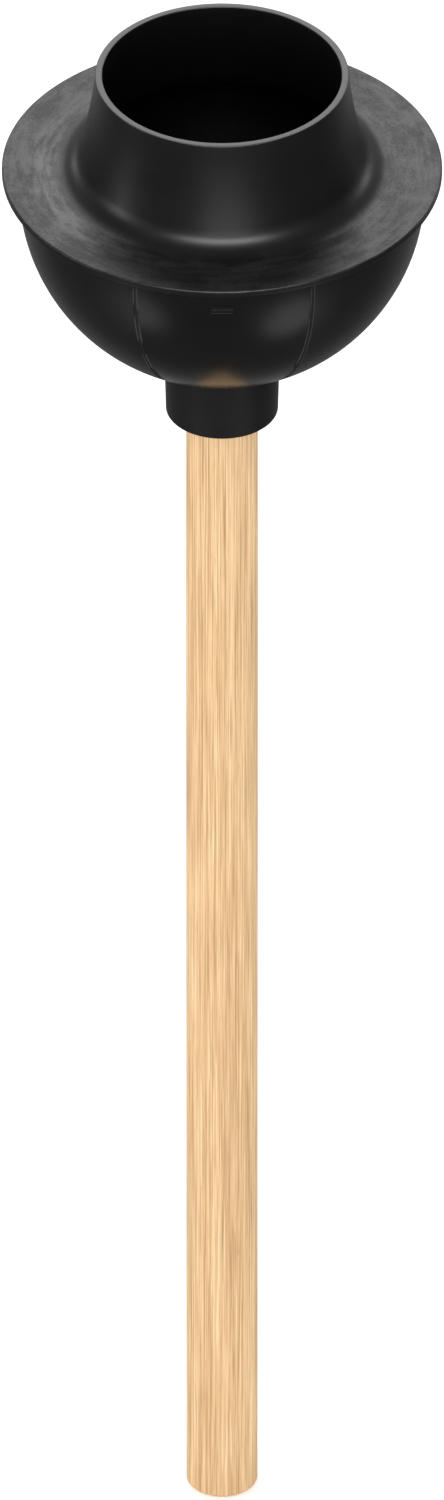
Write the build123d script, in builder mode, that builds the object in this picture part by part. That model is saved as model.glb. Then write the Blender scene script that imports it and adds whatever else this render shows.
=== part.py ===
"""Force-cup toilet plunger: a turned wooden handle screwed into a moulded rubber cup.

The frame's origin is the centre of the handle's free end, and +Z runs up the handle to the mouth of the cup.
The rubber cup is one moulding. It is divided where it creases, because its zones move differently:
the thick socket stays put, the bell squashes, the brim travels with it, and the neck turns inside out.
"""

import math
import os

from build123d import *

os.makedirs("parts", exist_ok=True)

# Handle: a straight dowel, turned down a little where it sits in the socket.
handle_r = 12.5
tenon_r = 12.25
handle_end_round = 1.2
handle_top_chamfer = 1.0

# Socket: the thick collar around the handle, closed by a floor and a boss inside the bell.
socket_bottom_z = 459.2
socket_mouth_r = 19.5
socket_crease_r = 20.1
socket_depth = 30.0
socket_floor = 5.5
boss_top_r = 18.0
boss_round = 1.5

# Bell: a spherical shell that opens upwards.
bell_r = 70.4
bell_wall = 4.5
bell_centre_z = 552.8

# Brim: the thin ring that overhangs the bell.
brim_r = 76.2
brim_under_z = 558.2
brim_thickness = 2.5
brim_edge_round = 0.5

# Neck: the thin wall from the brim to the mouth. It turns up out of the brim along a small flare, and then
# follows a wide arc that leans in less and less towards the mouth.
neck_brim_r = 58.4
neck_flare_r = 9.4
neck_foot_lean = 15.0
neck_arc_r = 176.0
neck_wall = 2.5
mouth_z = 599.2
lip_height = 3.5
lip_round = 0.4

# Wood screw and cup washer that hold the cup on the handle.
screw_r = 2.1
screw_length = 32.0
screw_tip = 6.0
screw_head_r = 4.0
screw_head_height = 2.8
screw_slot_width = 1.2
screw_slot_depth = 1.4
washer_r = 11.0
washer_thickness = 1.2
washer_edge_round = 0.4

# Heights and radii that follow from those.
handle_top_z = socket_bottom_z + socket_depth
boss_top_z = handle_top_z + socket_floor
bell_inner_r = bell_r - bell_wall
brim_top_z = brim_under_z + brim_thickness
lip_bottom_z = mouth_z - lip_height
screw_tip_z = boss_top_z + washer_thickness - screw_length


def sphere_z(radius, at_r):
    """Height of the lower half of a sphere about the bell's centre, at a distance from the axis."""
    return bell_centre_z - math.sqrt(radius**2 - at_r**2)


def sphere_r(radius, at_z):
    """Distance from the axis to a sphere about the bell's centre, at a height."""
    return math.sqrt(radius**2 - (at_z - bell_centre_z) ** 2)


def sphere_middle(radius, low_r, high_z):
    """A point half way along the sphere's profile between a radius low down and a height."""
    low = math.acos((bell_centre_z - sphere_z(radius, low_r)) / radius)
    high = math.acos((bell_centre_z - high_z) / radius)
    turn = (low + high) / 2
    return (radius * math.sin(turn), bell_centre_z - radius * math.cos(turn))


# Handle, stepped at the socket's mouth and bored down its end grain for the screw.
with BuildPart() as handle:
    with BuildSketch():
        Circle(handle_r)
    extrude(amount=socket_bottom_z)
    fillet(handle.edges().group_by(Axis.Z)[0], radius=handle_end_round)
    with BuildSketch(Plane.XY.offset(socket_bottom_z)):
        Circle(tenon_r)
    extrude(amount=socket_depth)
    chamfer(handle.edges().group_by(Axis.Z)[-1], length=handle_top_chamfer)
    with BuildSketch(Plane.XZ):
        with BuildLine():
            Polyline(
                (0, handle_top_z),
                (screw_r, handle_top_z),
                (screw_r, screw_tip_z + screw_tip),
                (0, screw_tip_z),
                close=True,
            )
        make_face()
    revolve(axis=Axis.Z, mode=Mode.SUBTRACT)
handle.part.label = "handle"
export_step(handle.part, "parts/handle.step")

# Socket collar, from the crease down to its mouth and up to the boss.
with BuildPart() as socket_collar:
    with BuildSketch(Plane.XZ):
        with BuildLine():
            Polyline(
                (screw_r, handle_top_z),
                (tenon_r - handle_top_chamfer, handle_top_z),
                (tenon_r, handle_top_z - handle_top_chamfer),
                (tenon_r, socket_bottom_z),
                (socket_mouth_r, socket_bottom_z),
                (socket_crease_r, sphere_z(bell_r, socket_crease_r)),
                (socket_crease_r, sphere_z(bell_inner_r, socket_crease_r)),
                (boss_top_r, boss_top_z),
                (screw_r, boss_top_z),
                close=True,
            )
        make_face()
    revolve(axis=Axis.Z)
    boss_edges = socket_collar.edges().filter_by(GeomType.CIRCLE).group_by(Axis.Z)[-1]
    fillet(boss_edges.sort_by(SortBy.RADIUS)[-1], radius=boss_round)
socket_collar.part.label = "socket_collar"
export_step(socket_collar.part, "parts/socket_collar.step")

# Bell, the squashing wall between the socket and the brim.
bell_foot_outer = (socket_crease_r, sphere_z(bell_r, socket_crease_r))
bell_foot_inner = (socket_crease_r, sphere_z(bell_inner_r, socket_crease_r))
bell_rim_outer = (sphere_r(bell_r, brim_under_z), brim_under_z)
bell_rim_inner = (sphere_r(bell_inner_r, brim_under_z), brim_under_z)
with BuildPart() as bell:
    with BuildSketch(Plane.XZ):
        with BuildLine():
            outer_middle = sphere_middle(bell_r, socket_crease_r, brim_under_z)
            inner_middle = sphere_middle(bell_inner_r, socket_crease_r, brim_under_z)
            ThreePointArc(bell_foot_outer, outer_middle, bell_rim_outer)
            Line(bell_rim_outer, bell_rim_inner)
            ThreePointArc(bell_rim_inner, inner_middle, bell_foot_inner)
            Line(bell_foot_inner, bell_foot_outer)
        make_face()
    revolve(axis=Axis.Z)
bell.part.label = "bell"
export_step(bell.part, "parts/bell.step")

# Brim, a flat ring with a softened edge.
with BuildPart() as brim:
    with BuildSketch(Plane.XY.offset(brim_under_z)):
        Circle(brim_r)
        Circle(neck_brim_r, mode=Mode.SUBTRACT)
    extrude(amount=brim_thickness)
    outer_edges = brim.edges().filter_by(GeomType.CIRCLE).sort_by(SortBy.RADIUS)[-2:]
    fillet(outer_edges, radius=brim_edge_round)
brim.part.label = "brim"
export_step(brim.part, "parts/brim.step")

# Neck, with each curve as a part of a circle. A lean is the wall's angle from upright, in degrees.
flare_centre = (neck_brim_r, brim_top_z + neck_flare_r)
foot_r = neck_brim_r - neck_flare_r * math.cos(math.radians(neck_foot_lean))
foot_z = flare_centre[1] - neck_flare_r * math.sin(math.radians(neck_foot_lean))
arc_centre = (
    foot_r + neck_arc_r * math.cos(math.radians(neck_foot_lean)),
    foot_z + neck_arc_r * math.sin(math.radians(neck_foot_lean)),
)
lip_lean = math.degrees(math.asin((arc_centre[1] - lip_bottom_z) / neck_arc_r))
mouth_lean = math.degrees(math.asin((arc_centre[1] - mouth_z) / neck_arc_r))


def leaning(centre, radius, lean):
    """The point of a circle where the wall that follows it leans by that many degrees."""
    turn = math.radians(lean)
    return (centre[0] - radius * math.cos(turn), centre[1] - radius * math.sin(turn))


flare_under_r = neck_flare_r + brim_thickness
arc_inner_r = neck_arc_r + neck_wall
lip_inner_lean = math.degrees(math.asin((arc_centre[1] - lip_bottom_z) / arc_inner_r))
mouth_inner_lean = math.degrees(math.asin((arc_centre[1] - mouth_z) / arc_inner_r))
lip_outer = leaning(arc_centre, neck_arc_r, lip_lean)
lip_inner = leaning(arc_centre, arc_inner_r, lip_inner_lean)
mouth_outer = leaning(arc_centre, neck_arc_r, mouth_lean)
mouth_inner = leaning(arc_centre, arc_inner_r, mouth_inner_lean)
foot_outer = leaning(arc_centre, neck_arc_r, neck_foot_lean)
foot_inner = leaning(arc_centre, arc_inner_r, neck_foot_lean)
flare_middle_lean = (neck_foot_lean + 90) / 2
with BuildPart() as neck:
    with BuildSketch(Plane.XZ):
        with BuildLine():
            outer_wall_middle = leaning(arc_centre, neck_arc_r, (lip_lean + neck_foot_lean) / 2)
            inner_wall_middle = leaning(arc_centre, arc_inner_r, (lip_inner_lean + neck_foot_lean) / 2)
            ThreePointArc(lip_outer, outer_wall_middle, foot_outer)
            outer_flare_middle = leaning(flare_centre, neck_flare_r, flare_middle_lean)
            ThreePointArc(foot_outer, outer_flare_middle, (neck_brim_r, brim_top_z))
            Line((neck_brim_r, brim_top_z), (neck_brim_r, brim_under_z))
            under_flare_middle = leaning(flare_centre, flare_under_r, flare_middle_lean)
            ThreePointArc((neck_brim_r, brim_under_z), under_flare_middle, foot_inner)
            ThreePointArc(foot_inner, inner_wall_middle, lip_inner)
            Line(lip_inner, lip_outer)
        make_face()
    revolve(axis=Axis.Z)
neck.part.label = "neck"
export_step(neck.part, "parts/neck.step")

# Mouth lip, the last of the neck's wall, with a flat face that seals on the drain.
with BuildPart() as mouth_lip:
    with BuildSketch(Plane.XZ):
        with BuildLine():
            outer_lip_middle = leaning(arc_centre, neck_arc_r, (lip_lean + mouth_lean) / 2)
            inner_lip_middle = leaning(arc_centre, arc_inner_r, (lip_inner_lean + mouth_inner_lean) / 2)
            ThreePointArc(lip_outer, outer_lip_middle, mouth_outer)
            Line(mouth_outer, mouth_inner)
            ThreePointArc(mouth_inner, inner_lip_middle, lip_inner)
            Line(lip_inner, lip_outer)
        make_face()
    revolve(axis=Axis.Z)
    fillet(mouth_lip.edges().group_by(Axis.Z)[-1], radius=lip_round)
mouth_lip.part.label = "mouth_lip"
export_step(mouth_lip.part, "parts/mouth_lip.step")

# Washer on the boss.
with BuildPart() as screw_washer:
    with BuildSketch(Plane.XY.offset(boss_top_z)):
        Circle(washer_r)
        Circle(screw_r, mode=Mode.SUBTRACT)
    extrude(amount=washer_thickness)
    top_edges = screw_washer.edges().group_by(Axis.Z)[-1]
    fillet(top_edges.sort_by(SortBy.RADIUS)[-1], radius=washer_edge_round)
screw_washer.part.label = "screw_washer"
export_step(screw_washer.part, "parts/screw_washer.step")

# Round-head wood screw, down through the washer and the socket's floor into the handle.
screw_head_z = boss_top_z + washer_thickness
head_sphere_r = (screw_head_r**2 + screw_head_height**2) / (2 * screw_head_height)
head_half_turn = math.asin(screw_head_r / head_sphere_r) / 2
head_middle = (
    head_sphere_r * math.sin(head_half_turn),
    screw_head_z + screw_head_height - head_sphere_r * (1 - math.cos(head_half_turn)),
)
with BuildPart() as retaining_screw:
    with BuildSketch(Plane.XZ):
        with BuildLine():
            ThreePointArc((0, screw_head_z + screw_head_height), head_middle, (screw_head_r, screw_head_z))
            Polyline(
                (screw_head_r, screw_head_z),
                (screw_r, screw_head_z),
                (screw_r, screw_tip_z + screw_tip),
                (0, screw_tip_z),
                (0, screw_head_z + screw_head_height),
            )
        make_face()
    revolve(axis=Axis.Z)
    with BuildSketch(Plane.XY.offset(screw_head_z + screw_head_height)):
        Rectangle(3 * screw_head_r, screw_slot_width)
    extrude(amount=-screw_slot_depth, mode=Mode.SUBTRACT)
retaining_screw.part.label = "retaining_screw"
export_step(retaining_screw.part, "parts/retaining_screw.step")
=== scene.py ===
import math

import bmesh
import bpy
from mathutils import Matrix, Vector


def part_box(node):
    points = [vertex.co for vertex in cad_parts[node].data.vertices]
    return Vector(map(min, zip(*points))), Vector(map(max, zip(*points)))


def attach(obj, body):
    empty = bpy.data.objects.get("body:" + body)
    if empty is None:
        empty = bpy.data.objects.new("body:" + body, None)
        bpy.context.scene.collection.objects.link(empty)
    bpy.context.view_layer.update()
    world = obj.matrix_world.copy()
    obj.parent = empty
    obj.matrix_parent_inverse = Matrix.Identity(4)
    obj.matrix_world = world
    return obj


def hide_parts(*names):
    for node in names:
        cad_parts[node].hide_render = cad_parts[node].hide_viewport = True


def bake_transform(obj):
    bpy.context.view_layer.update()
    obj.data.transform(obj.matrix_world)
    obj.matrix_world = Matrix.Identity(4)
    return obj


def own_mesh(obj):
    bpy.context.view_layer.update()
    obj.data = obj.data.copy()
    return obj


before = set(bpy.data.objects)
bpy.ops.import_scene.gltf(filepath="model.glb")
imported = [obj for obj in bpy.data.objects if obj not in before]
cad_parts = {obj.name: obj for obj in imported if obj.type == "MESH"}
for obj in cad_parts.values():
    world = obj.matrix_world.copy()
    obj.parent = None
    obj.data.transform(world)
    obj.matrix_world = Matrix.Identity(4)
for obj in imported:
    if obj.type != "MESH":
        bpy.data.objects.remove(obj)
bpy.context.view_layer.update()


# ---- Handle ----------------------------------------------------------------------------------------------
# A straight hardwood dowel, sanded but not varnished, with its free end cut square and the corner eased.
# Its other end goes up into the rubber socket, out of sight, where a wood screw holds it.
mm = 0.001
handle_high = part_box("handle")[1]
handle_r = handle_high.x
handle_top_z = handle_high.z
socket_mouth_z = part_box("socket_collar")[0].z
eased_corner = 1.2 * mm
tenon_step = 0.25 * mm
rings_at_mm = range(20, 450, 10)
lathe_steps = 256
weld_within = 0.002 * mm


def arc(centre, radius, start, stop, steps=6):
    """Points (distance from the axis, height) along part of a circle, with its angles in degrees."""
    turns = [math.radians(start + (stop - start) * step / steps) for step in range(steps + 1)]
    return [(centre[0] + radius * math.cos(t), centre[1] + radius * math.sin(t)) for t in turns]


def lathe(name, outline):
    """Turns a closed outline, given as (distance from the axis, height), round the handle's axis."""
    shape = bmesh.new()
    corners = [shape.verts.new((r, 0, z)) for r, z in outline]
    edges = [shape.edges.new((a, b)) for a, b in zip(corners, corners[1:] + corners[:1])]
    bmesh.ops.spin(
        shape, geom=corners + edges, cent=(0, 0, 0), axis=(0, 0, 1), angle=2 * math.pi,
        steps=lathe_steps, use_merge=True,
    )
    bmesh.ops.remove_doubles(shape, verts=shape.verts, dist=weld_within)
    bmesh.ops.recalc_face_normals(shape, faces=shape.faces)
    return finished(name, shape, crease=35)


def finished(name, shape, crease):
    """Makes a bmesh into a piece, smooth except at edges sharper than crease degrees."""
    mesh = bpy.data.meshes.new(name)
    shape.to_mesh(mesh)
    shape.free()
    mesh.shade_smooth()
    mesh.set_sharp_from_angle(angle=math.radians(crease))
    piece = bpy.data.objects.new(name, mesh)
    bpy.context.scene.collection.objects.link(piece)
    return piece


class Wire:
    """One output of a shader node. Arithmetic on it adds Math nodes, and node() adds any other kind."""

    def __init__(self, tree, socket=None):
        self.tree = tree
        self.socket = socket

    def node(self, kind, settings=None, sockets=None, output=0):
        made = self.tree.nodes.new("ShaderNode" + kind)
        for name, value in (settings or {}).items():
            setattr(made, name, value)
        for name, value in (sockets or {}).items():
            if isinstance(value, Wire):
                self.tree.links.new(value.socket, made.inputs[name])
            else:
                made.inputs[name].default_value = value
        return Wire(self.tree, made.outputs[output] if len(made.outputs) else None)

    def maths(self, operation, *values):
        return self.node("Math", {"operation": operation}, dict(enumerate(values)))

    def __add__(self, other):
        return self.maths("ADD", self, other)

    def __radd__(self, other):
        return self.maths("ADD", other, self)

    def __sub__(self, other):
        return self.maths("SUBTRACT", self, other)

    def __rsub__(self, other):
        return self.maths("SUBTRACT", other, self)

    def __mul__(self, other):
        return self.maths("MULTIPLY", self, other)

    def __rmul__(self, other):
        return self.maths("MULTIPLY", other, self)

    def __truediv__(self, other):
        return self.maths("DIVIDE", self, other)

    def __pow__(self, power):
        return self.maths("POWER", self, power)

    def size(self):
        return self.maths("ABSOLUTE", self)

    def rise(self, low, high):
        """0 below low, 1 above high and smooth between. If low is the larger, it falls instead."""
        sockets = {"Value": self, "From Min": low, "From Max": high}
        return self.node("MapRange", {"interpolation_type": "SMOOTHSTEP"}, sockets)

    def blend(self, a, b):
        """Colour a where this is 0 and colour b where it is 1."""
        factor_in, a_in, b_in, colour_out = 0, 6, 7, 2
        sockets = {factor_in: self, a_in: a, b_in: b}
        return self.node("Mix", {"data_type": "RGBA"}, sockets, colour_out)

    def noise(self, scale, detail=3.0, roughness=0.5):
        """Cloudy noise from 0 to 1 on this vector."""
        sockets = {"Vector": self, "Scale": scale, "Detail": detail, "Roughness": roughness}
        return self.node("TexNoise", None, sockets)

    def placed(self, move=(0, 0, 0), stretch=(1, 1, 1)):
        """This vector moved and stretched."""
        return self.node("Mapping", None, {"Vector": self, "Location": move, "Scale": stretch})

    def xyz(self):
        """The three parts of this vector."""
        apart = self.node("SeparateXYZ", None, {"Vector": self}).socket.node
        return [Wire(self.tree, part) for part in apart.outputs]


def new_finish(name):
    """A material with an empty node tree, and the Wire to build it from."""
    finish = bpy.data.materials.new(name)
    finish.use_nodes = True
    finish.node_tree.nodes.clear()
    return finish, Wire(finish.node_tree)


def coat(start, **sockets):
    """Ends a material in one shader, with its sockets named in words."""
    names = {name.replace("_", " ").title().replace("Ior", "IOR"): value for name, value in sockets.items()}
    shader = start.node("BsdfPrincipled", None, names)
    start.node("OutputMaterial", None, {"Surface": shader})


def wood():
    """Pale straight-grained hardwood: broad bands of warm and pinkish tone, fine fibres and short pores."""
    finish, start = new_finish("sanded_hardwood")
    place = start.node("TexCoord", output="Object")
    patches = place.placed(move=(0.4, 0.1, 0), stretch=(150, 150, 16)).noise(1.0, 2.0, 0.55)
    tone = place.placed(move=(0.1, 0.7, 0), stretch=(420, 420, 9)).noise(1.0, 2.0, 0.6)
    fibres = place.placed(stretch=(1350, 1350, 11)).noise(1.0, 4.0, 0.66)
    hairs = place.placed(move=(0.6, 0.3, 0), stretch=(2500, 2500, 20)).noise(1.0, 3.0, 0.6)
    flecks = place.placed(move=(0.3, 0.2, 0), stretch=(2100, 2100, 110)).noise(1.0, 2.0, 0.6)
    body = patches.rise(0.36, 0.66).blend((0.68, 0.430, 0.215, 1), (0.75, 0.490, 0.252, 1))
    layers = (
        (tone.rise(0.38, 0.64), 0.35, (0.84, 0.57, 0.31, 1)),
        (fibres.rise(0.50, 0.66), 0.95, (0.50, 0.30, 0.135, 1)),
        (fibres.rise(0.47, 0.34), 0.85, (0.90, 0.64, 0.37, 1)),
        (hairs.rise(0.53, 0.64), 0.85, (0.44, 0.26, 0.12, 1)),
        (hairs.rise(0.45, 0.34), 0.75, (0.96, 0.72, 0.44, 1)),
        (flecks.rise(0.60, 0.72), 0.35, (0.46, 0.28, 0.13, 1)),
    )
    for where, strength, colour in layers:
        body = (where * strength).blend(body, colour)
    height = fibres * 0.6 + flecks * 0.6 + hairs * 0.5
    grain = start.node("Bump", None, {"Height": height, "Strength": 0.22, "Distance": 0.12 * mm})
    coat(start, base_color=body, roughness=0.52 + fibres * 0.16, normal=grain, specular_ior_level=0.32)
    return finish


handle = lathe(
    "handle_dowel",
    [(0, 0)]
    + arc((handle_r - eased_corner, eased_corner), eased_corner, -90, 0, steps=8)
    + [(handle_r, ring * mm) for ring in rings_at_mm]
    + [
        (handle_r, socket_mouth_z),
        (handle_r - tenon_step, socket_mouth_z),
        (handle_r - tenon_step, handle_top_z - eased_corner),
        (handle_r - eased_corner, handle_top_z),
        (0, handle_top_z),
    ],
)
handle.data.materials.append(wood())
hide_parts("handle")
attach(handle, "handle_and_socket")


# ---- Socket collar ---------------------------------------------------------------------------------------
# The thick end of the rubber moulding. It grips the dowel, tapers a little towards its mouth, and is closed
# inside the bell by a floor with a low boss that the washer sits on.
socket_low, socket_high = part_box("socket_collar")
crease_r = socket_high.x
collar_mouth_r = crease_r - 0.6 * mm
boss_top_z = socket_high.z
boss_top_r = 18.0 * mm
boss_edge = 1.5 * mm
collar_edge = 0.5 * mm
bore_edge = 0.35 * mm
bell_low, bell_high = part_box("bell")
bell_r = bell_high.x
bell_wall = 4.5 * mm
bell_centre_z = bell_low.z + math.sqrt(bell_r**2 - crease_r**2)
crease_rise = 2 * mm
floor_inset = 0.2 * mm
# The mould's parts met in two upright planes, where |x + seam_skew * y| = seam_slope * |y|.
seam_slope = 0.4846
seam_skew = 0.014
bead_off_seam = 0.74 * mm
moulded_at = "moulded_at"


def rubber():
    """Black moulded rubber: a satin skin, with a grey dusty film on the brim's top and the mouth's rim, a
    painted highlight beside the neck on the front left, painted highlights on the mould beads and painted
    shade inside the bell.
    """
    finish, start = new_finish("moulded_rubber")
    place = start.node("Attribute", {"attribute_name": moulded_at}, output="Vector")
    x, y, z = place.xyz()
    out = (x * x + y * y) ** 0.5
    brim_low, brim_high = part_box("brim")
    past_flare = out.rise(53 * mm, 59 * mm)
    on_brim = z.rise(brim_high.z - 0.9 * mm, brim_high.z - 0.3 * mm) * past_flare
    lip_top_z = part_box("mouth_lip")[1].z
    on_rim = z.rise(lip_top_z - 0.25 * mm, lip_top_z - 0.1 * mm)
    # Painted highlight: the brim's inner ring beside the neck is made lighter and glossier on the front
    # left only.
    front_left = (y * -8 + x * -6).rise(-0.25, 0.55)
    neck_highlight_ring = out.rise(57 * mm, 60 * mm) * out.rise(70 * mm, 61 * mm)
    painted_highlight_beside_neck = neck_highlight_ring * front_left
    past_line = (x + y * seam_skew).size() - y.size() * seam_slope
    between_lines = past_line.rise(0.1 * mm, -0.1 * mm)
    above_middle = z - bell_centre_z
    from_middle = (out * out + above_middle * above_middle) ** 0.5
    outside = from_middle.rise(bell_r - 2 * mm, bell_r - 1 * mm)
    under_brim = z.rise(brim_low.z + 0.4 * mm, brim_low.z)
    on_bell = outside * under_brim * z.rise(bell_low.z, bell_low.z + 0.4 * mm)
    polished = between_lines * on_bell * z.rise(bell_low.z + 1 * mm, bell_low.z + 16 * mm)
    turned_r = 12 * mm
    circling = start.node("CombineXYZ", None, {"X": x / out * turned_r, "Y": y / out * turned_r, "Z": out})
    clouds = place.noise(95, 3.0, 0.55)
    smears = circling.noise(420, 4.0, 0.7)
    dust = place.noise(1100, 3.0, 0.65)
    mottle = clouds.rise(0.34, 0.66) * 0.36 + smears.rise(0.36, 0.66) * 0.34 + dust.rise(0.36, 0.66) * 0.30
    # The dusty film is real, but its extra share beside the neck on the front left is a painted highlight.
    bloom_and_highlight = mottle.rise(0.12, 0.88) * 0.52 + painted_highlight_beside_neck * smears.rise(0.30, 0.62) * 0.42
    settled_dust_and_highlight = on_brim * bloom_and_highlight + on_rim * 0.6
    skin = clouds.blend((0.0050, 0.0051, 0.0052, 1), (0.0078, 0.0080, 0.0080, 1))
    # Painted highlight: thin light lines of colour along the mould beads, in place of their sheen.
    from_bead = (past_line.size() - bead_off_seam).size()
    painted_bead_highlights = from_bead.rise(0.30 * mm, 0.14 * mm) * clouds.rise(0.40, 0.52)
    between_beads = past_line.size().rise(0.52 * mm, 0.34 * mm) * on_bell
    worn_bars = from_middle.rise(bell_r + 0.25 * mm, bell_r + 0.35 * mm)
    bead_highlights_and_bar_wear = (painted_bead_highlights + worn_bars * 0.55) * on_bell
    # Painted shade: the rubber inside the bell, below the brim, is made near black as if in deep shade.
    painted_shade_inside = from_middle.rise(bell_r - 1 * mm, bell_r - 2 * mm) * z.rise(brim_low.z + 1 * mm, brim_low.z)
    # Grey of the dust on the brim and rim, also used for the painted highlight beside the neck.
    colour = settled_dust_and_highlight.blend(skin, (0.018, 0.018, 0.018, 1))
    # Near black of the painted shade inside the bell.
    colour = painted_shade_inside.blend(colour, (0.0016, 0.0016, 0.0016, 1))
    # Light grey of the painted bead highlights, and of the wear on the bars' tops.
    colour = (bead_highlights_and_bar_wear * 0.8).blend(colour, (0.055, 0.058, 0.056, 1))
    on_collar = z.rise(bell_low.z + 16 * mm, bell_low.z)
    rough = 0.33 + clouds * 0.05 + dust * 0.03 + on_brim * 0.05 + on_collar * 0.14 - polished * 0.11
    rough = rough + between_beads * 0.45 - painted_shade_inside * 0.10
    ripples = place.noise(38, 1.0) + place.noise(700, 2.0) * 0.006 + dust * settled_dust_and_highlight * 0.08
    ripples = ripples - between_beads * 0.5
    skin_bump = start.node("Bump", None, {"Height": ripples, "Strength": 0.35, "Distance": 0.5 * mm})
    coat(
        start, base_color=colour, roughness=rough, normal=skin_bump, specular_ior_level=0.36,
        coat_weight=settled_dust_and_highlight, coat_roughness=0.40, coat_ior=1.5,
    )
    return finish


cup_rubber = rubber()


def mould(piece):
    """Finishes a piece in rubber and marks where each point was moulded, so its bloom bends with it."""
    places = piece.data.attributes.new(moulded_at, "FLOAT_VECTOR", "POINT")
    places.data.foreach_set("vector", [along for point in piece.data.vertices for along in point.co])
    piece.data.materials.append(cup_rubber)


crease_turn = math.degrees(math.asin(crease_r / bell_r))
inner_r = bell_r - bell_wall
inner_crease_turn = math.degrees(math.asin(crease_r / inner_r))
socket = lathe(
    "cup_socket",
    [(handle_r + bore_edge, socket_low.z)]
    + arc((collar_mouth_r - collar_edge, socket_low.z + collar_edge), collar_edge, -90, 0)
    + [
        ((collar_mouth_r + crease_r) / 2, (socket_low.z + bell_low.z) / 2),
        (crease_r, bell_low.z),
        (crease_r, bell_low.z + crease_rise),
        (crease_r - floor_inset, bell_centre_z - math.sqrt(inner_r**2 - crease_r**2)),
    ]
    + arc((boss_top_r - boss_edge, boss_top_z - boss_edge), boss_edge, 20, 90)
    + [
        (0, boss_top_z),
        (0, handle_top_z),
        (handle_r - eased_corner, handle_top_z),
        (handle_r - tenon_step, handle_top_z - eased_corner),
        (handle_r - tenon_step, socket_low.z + bore_edge),
    ],
)
mould(socket)
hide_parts("socket_collar")
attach(socket, "handle_and_socket")


# ---- Washer and screw ------------------------------------------------------------------------------------
# A zinc-plated washer and a slotted round-head wood screw, driven down through the socket's floor into the
# handle's end grain. They are seen only from above, down inside the cup.
def zinc():
    """Dull zinc plate on steel, with faint turning marks and a little tarnish."""
    finish, start = new_finish("zinc_plate")
    place = start.node("TexCoord", output="Object")
    spangle = place.noise(420, 3.0, 0.6)
    marks = place.placed(stretch=(1, 1, 14)).noise(1900, 2.0)
    colour = spangle.rise(0.35, 0.7).blend((0.50, 0.51, 0.52, 1), (0.66, 0.66, 0.64, 1))
    turned = start.node("Bump", None, {"Height": marks, "Strength": 0.15, "Distance": 0.1 * mm})
    coat(start, base_color=colour, metallic=1.0, roughness=0.42 + spangle * 0.18, normal=turned)
    return finish


zinc_plate = zinc()
for node in ("screw_washer", "retaining_screw"):
    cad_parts[node].data.materials.clear()
    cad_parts[node].data.materials.append(zinc_plate)


# ---- Bell ------------------------------------------------------------------------------------------------
# The round wall of the cup, an even shell moulded in parts: where they met, fine raised lines run down it,
# and two short raised bars stand at the middle of the front and the back.
brim_low, brim_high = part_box("brim")
bell_top_z = brim_low.z
tuck = 0.2 * mm
wall_steps = 72
bead_azimuths = (-25.8, -24.7, 25.9, 27.0)
bead_low_turn = 44
bead_high_turn = 94
bead_width = 0.42 * mm
bead_proud = 0.22 * mm
bar_size = (7.6 * mm, 1.1 * mm, 0.26 * mm)
bar_heights = (-3.4 * mm, -4.9 * mm)


def shell_turn(radius, height):
    """Degrees from straight down to the point of a sphere about the bell's centre at a height."""
    return math.degrees(math.acos((bell_centre_z - height) / radius))


bell_middle = (0, bell_centre_z)
brim_turn = shell_turn(bell_r, bell_top_z + tuck)
inner_brim_turn = shell_turn(inner_r, bell_top_z + tuck)
bell = lathe(
    "cup_bell",
    arc(bell_middle, bell_r, crease_turn - 90, brim_turn - 90, wall_steps)
    + arc(bell_middle, inner_r, inner_brim_turn - 90, inner_crease_turn - 90, wall_steps),
)
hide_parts("bell")


def mould_line(shape, azimuth):
    """A fine bead down the outside of the bell, at an azimuth from the front in degrees."""
    middle = Vector((0, 0, bell_centre_z))
    below = Vector((0, 0, bell_centre_z - bell_r - bead_proud + bead_width / 2))
    flat = Matrix.Rotation(math.pi / 2, 3, "X")
    facing = Matrix.Rotation(math.radians(azimuth), 3, "Z")
    raised = Matrix.Rotation(-math.radians(bead_high_turn), 3, "X")
    section = bmesh.ops.create_circle(shape, cap_ends=True, segments=10, radius=bead_width / 2)["verts"]
    bmesh.ops.rotate(shape, verts=section, cent=(0, 0, 0), matrix=flat)
    bmesh.ops.translate(shape, verts=section, vec=below)
    bmesh.ops.rotate(shape, verts=section, cent=middle, matrix=facing @ raised)
    faces = list({face for vert in section for face in vert.link_faces})
    rims = list({edge for face in faces for edge in face.edges})
    bmesh.ops.spin(
        shape, geom=section + faces + rims, cent=middle, axis=facing @ Vector((1, 0, 0)),
        angle=math.radians(bead_high_turn - bead_low_turn), steps=48,
    )


lines = bmesh.new()
for azimuth in bead_azimuths:
    for half in (0, 180):
        mould_line(lines, azimuth + half)
for half in (0, math.pi):
    for height in bar_heights:
        out = math.sqrt(bell_r**2 - height**2)
        bar = bmesh.ops.create_cube(lines, size=1)["verts"]
        bmesh.ops.scale(lines, verts=bar, vec=bar_size)
        bmesh.ops.translate(lines, verts=bar, vec=(0, -out, bell_centre_z + height))
        bmesh.ops.rotate(lines, verts=bar, cent=(0, 0, 0), matrix=Matrix.Rotation(half, 3, "Z"))
bmesh.ops.recalc_face_normals(lines, faces=lines.faces)
mould_marks = finished("cup_mould_lines", lines, crease=60)

for piece in (bell, mould_marks):
    mould(piece)
    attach(piece, "handle_and_socket")
    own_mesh(piece)


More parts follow.
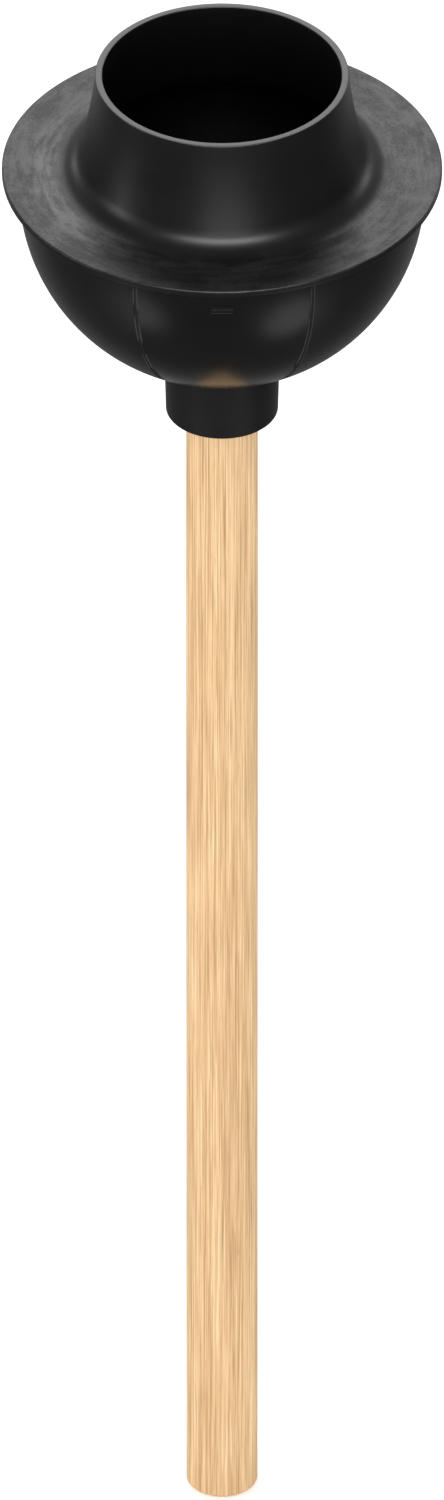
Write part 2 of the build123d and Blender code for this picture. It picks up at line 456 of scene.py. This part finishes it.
# ---- Brim ------------------------------------------------------------------------------------------------
# The thin ring of the same moulding that overhangs the bell and seals on the toilet bowl. Its top lies
# open to dust, so it is dull and mottled; beside the neck on the front left, a painted highlight is added.
brim_r = brim_high.x
neck_foot_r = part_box("neck")[1].x
brim_split_r = neck_foot_r + 0.8 * mm
brim_edge = 0.6 * mm
ring_radii = [brim_split_r + step * mm for step in (0, 3, 7, 11)]
brim = lathe(
    "cup_brim",
    [(radius, brim_low.z) for radius in ring_radii]
    + arc((brim_r - brim_edge, brim_low.z + brim_edge), brim_edge, -90, 0)
    + arc((brim_r - brim_edge, brim_high.z - brim_edge), brim_edge, 0, 90)
    + [(radius, brim_high.z) for radius in reversed(ring_radii)],
)
mould(brim)
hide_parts("brim")
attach(brim, "brim_ring")


# ---- Neck ------------------------------------------------------------------------------------------------
# The thin wall that rises from the brim in a wide curve and leans in to the mouth. It can be pushed inside
# out, down into the bell, so it bends between the brim and the lip.
lip_low, lip_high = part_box("mouth_lip")
neck_wall = brim_high.z - brim_low.z
curve_steps = 32
flare_r = 9.4 * mm
flare_centre = (neck_foot_r, brim_high.z + flare_r)
foot_lean = 15.0
sweep_r = 176.0 * mm
sweep_reach = (sweep_r - flare_r) * math.cos(math.radians(foot_lean))
sweep_rise = (sweep_r - flare_r) * math.sin(math.radians(foot_lean))
sweep_centre = (flare_centre[0] + sweep_reach, flare_centre[1] + sweep_rise)


def lean(radius, z):
    """Degrees from upright that the wall leans at a height, on a circle about the sweep's centre."""
    return math.degrees(math.asin((sweep_centre[1] - z) / radius))


foot_turn = 180 + foot_lean
lip_turn = 180 + lean(sweep_r, lip_low.z)
inner_lip_turn = 180 + lean(sweep_r + neck_wall, lip_low.z)
neck = lathe(
    "cup_neck",
    [(brim_split_r, brim_high.z)]
    + arc(flare_centre, flare_r, 270, foot_turn, curve_steps)
    + arc(sweep_centre, sweep_r, foot_turn, lip_turn, curve_steps)[1:]
    + arc(sweep_centre, sweep_r + neck_wall, inner_lip_turn, foot_turn, curve_steps)
    + arc(flare_centre, flare_r + neck_wall, foot_turn, 270, curve_steps)[1:]
    + [(brim_split_r, brim_low.z)],
)
mould(neck)
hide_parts("neck")
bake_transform(neck)


# ---- Mouth lip -------------------------------------------------------------------------------------------
# The end of the neck's wall, trimmed flat after moulding so that it seals on the drain. The trimmed face
# is duller than the moulded skin.
trim_edge = 0.35 * mm


def skin_r(z):
    """Distance from the axis to the outer face of the neck at a height."""
    return sweep_centre[0] - sweep_r * math.cos(math.radians(lean(sweep_r, z)))


lip_outer_r = skin_r(lip_low.z)
mouth_r = skin_r(lip_high.z)
lip = lathe(
    "cup_mouth_lip",
    [
        (lip_outer_r - neck_wall, lip_low.z),
        (lip_outer_r, lip_low.z),
        ((lip_outer_r + mouth_r) / 2, (lip_low.z + lip_high.z) / 2),
    ]
    + arc((mouth_r - trim_edge, lip_high.z - trim_edge), trim_edge, 0, 90)
    + [(mouth_r - neck_wall / 2, lip_high.z)]
    + arc((mouth_r - neck_wall + trim_edge, lip_high.z - trim_edge), trim_edge, 90, 180),
)
mould(lip)
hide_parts("mouth_lip")
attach(lip, "lip_ring")


# ---- Studio ----------------------------------------------------------------------------------------------
# A pale, faintly glowing floor and a white backdrop. Two soft boxes stand in front, slim ones at the sides
# and the back draw the edges, a large one is above and behind, and one overhead lights only matte faces.
# The camera looks down from a long way off, so the handle hardly tapers.
scene = bpy.context.scene
scene.view_settings.view_transform = "Standard"
scene.view_settings.look = "None"

floor_mesh = bmesh.new()
bmesh.ops.create_grid(floor_mesh, x_segments=1, y_segments=1, size=30)
floor = finished("floor", floor_mesh, crease=30)
pale, start = new_finish("pale_floor")
coat(
    start, base_color=(0.92, 0.92, 0.92, 1), roughness=0.9, specular_ior_level=0.0,
    emission_color=(1.0, 1.0, 1.0, 1), emission_strength=0.2,
)
floor.data.materials.append(pale)
floor.visible_glossy = False

world = bpy.data.worlds.new("studio_air")
scene.world = world
world.use_nodes = True
world.node_tree.nodes.clear()
air = Wire(world.node_tree)
direction = air.node("TexCoord")
backward, upward = direction.xyz()[1:]


def glow(towards):
    """1 in one direction, falling to 0 about 14 degrees away from it."""
    dot = air.node("VectorMath", {"operation": "DOT_PRODUCT"}, {0: direction, 1: towards}, "Value")
    return dot.rise(0.97, 0.99)


# Two bright patches low in front are mirrored on the bell beside its mould lines.
right_patch = glow((0.47, -0.45, -0.76)) * 1.25
left_patch = glow((-0.55, -0.40, -0.73))
below = 0.075 + backward.rise(0.1, 0.9) * 0.30 + right_patch + left_patch
above = 0.14 + backward.rise(0.0, 0.9) * 0.35
mirrored_light = below + (above - below) * upward.rise(-0.12, 0.10)
mirrored_grey = air.node("CombineColor", None, dict.fromkeys(("Red", "Green", "Blue"), mirrored_light))
soaked_up_grey = (0.82, 0.82, 0.82, 1)
backdrop_white = (1.0, 1.0, 1.0, 1)
is_camera = air.node("LightPath", output="Is Camera Ray")
is_diffuse = air.node("LightPath", output="Is Diffuse Ray")
shown = is_camera.blend(is_diffuse.blend(mirrored_grey, soaked_up_grey), backdrop_white)
backdrop = air.node("Background", None, {"Color": shown, "Strength": 1.0})
air.node("OutputWorld", None, {"Surface": backdrop})

lit_middle = Vector((0, 0, 500 * mm))


def soft_box(name, azimuth, elevation, distance, width, height, watts, mirrored=True, soaked_up=True):
    """A light aimed at the cup. Azimuth is from the front and elevation from level, both in degrees."""
    light = bpy.data.lights.new(name, "AREA")
    light.shape = "RECTANGLE"
    light.size = width
    light.size_y = height
    light.energy = watts
    lamp = bpy.data.objects.new(name, light)
    scene.collection.objects.link(lamp)
    side, rise = math.radians(azimuth), math.radians(elevation)
    back = Vector((math.sin(side) * math.cos(rise), -math.cos(side) * math.cos(rise), math.sin(rise)))
    lamp.location = lit_middle + back * distance
    lamp.rotation_mode = "QUATERNION"
    lamp.rotation_quaternion = back.to_track_quat("Z", "Y")
    lamp.visible_glossy = mirrored
    lamp.visible_diffuse = soaked_up


soft_box("key_high", 2, 41, 1.6, 1.45, 0.35, 27, soaked_up=False)
soft_box("key_low", 3, 6, 1.6, 0.95, 0.7, 6)
soft_box("left", -80, 8, 1.6, 0.25, 0.9, 5.0)
soft_box("right", 128, 10, 1.8, 0.25, 0.6, 2.2)
soft_box("left_back", -138, 0, 1.8, 0.22, 0.5, 1.3)
soft_box("above_back", -174, 38, 2.2, 1.7, 1.2, 16.5)
soft_box("overhead", 0, 89, 2.5, 3.0, 3.0, 5, mirrored=False)

looked_at = Vector((0, 0, 313.5 * mm))
lens = 375
distance = 18.0
frame_height = 0.523
camera = bpy.data.cameras.new("camera")
camera.lens = lens
camera.sensor_fit = "VERTICAL"
camera.sensor_height = lens * frame_height / distance
camera.clip_start = 1.0
camera.clip_end = 60
# The camera tilts down as in an isometric drawing, 35.3 degrees.
elevation = math.asin(1 / math.sqrt(3))
back = Vector((0, -math.cos(elevation), math.sin(elevation)))
eye = bpy.data.objects.new("camera", camera)
scene.collection.objects.link(eye)
eye.location = looked_at + back * distance
eye.rotation_mode = "QUATERNION"
eye.rotation_quaternion = back.to_track_quat("Z", "Y")
scene.camera = eye
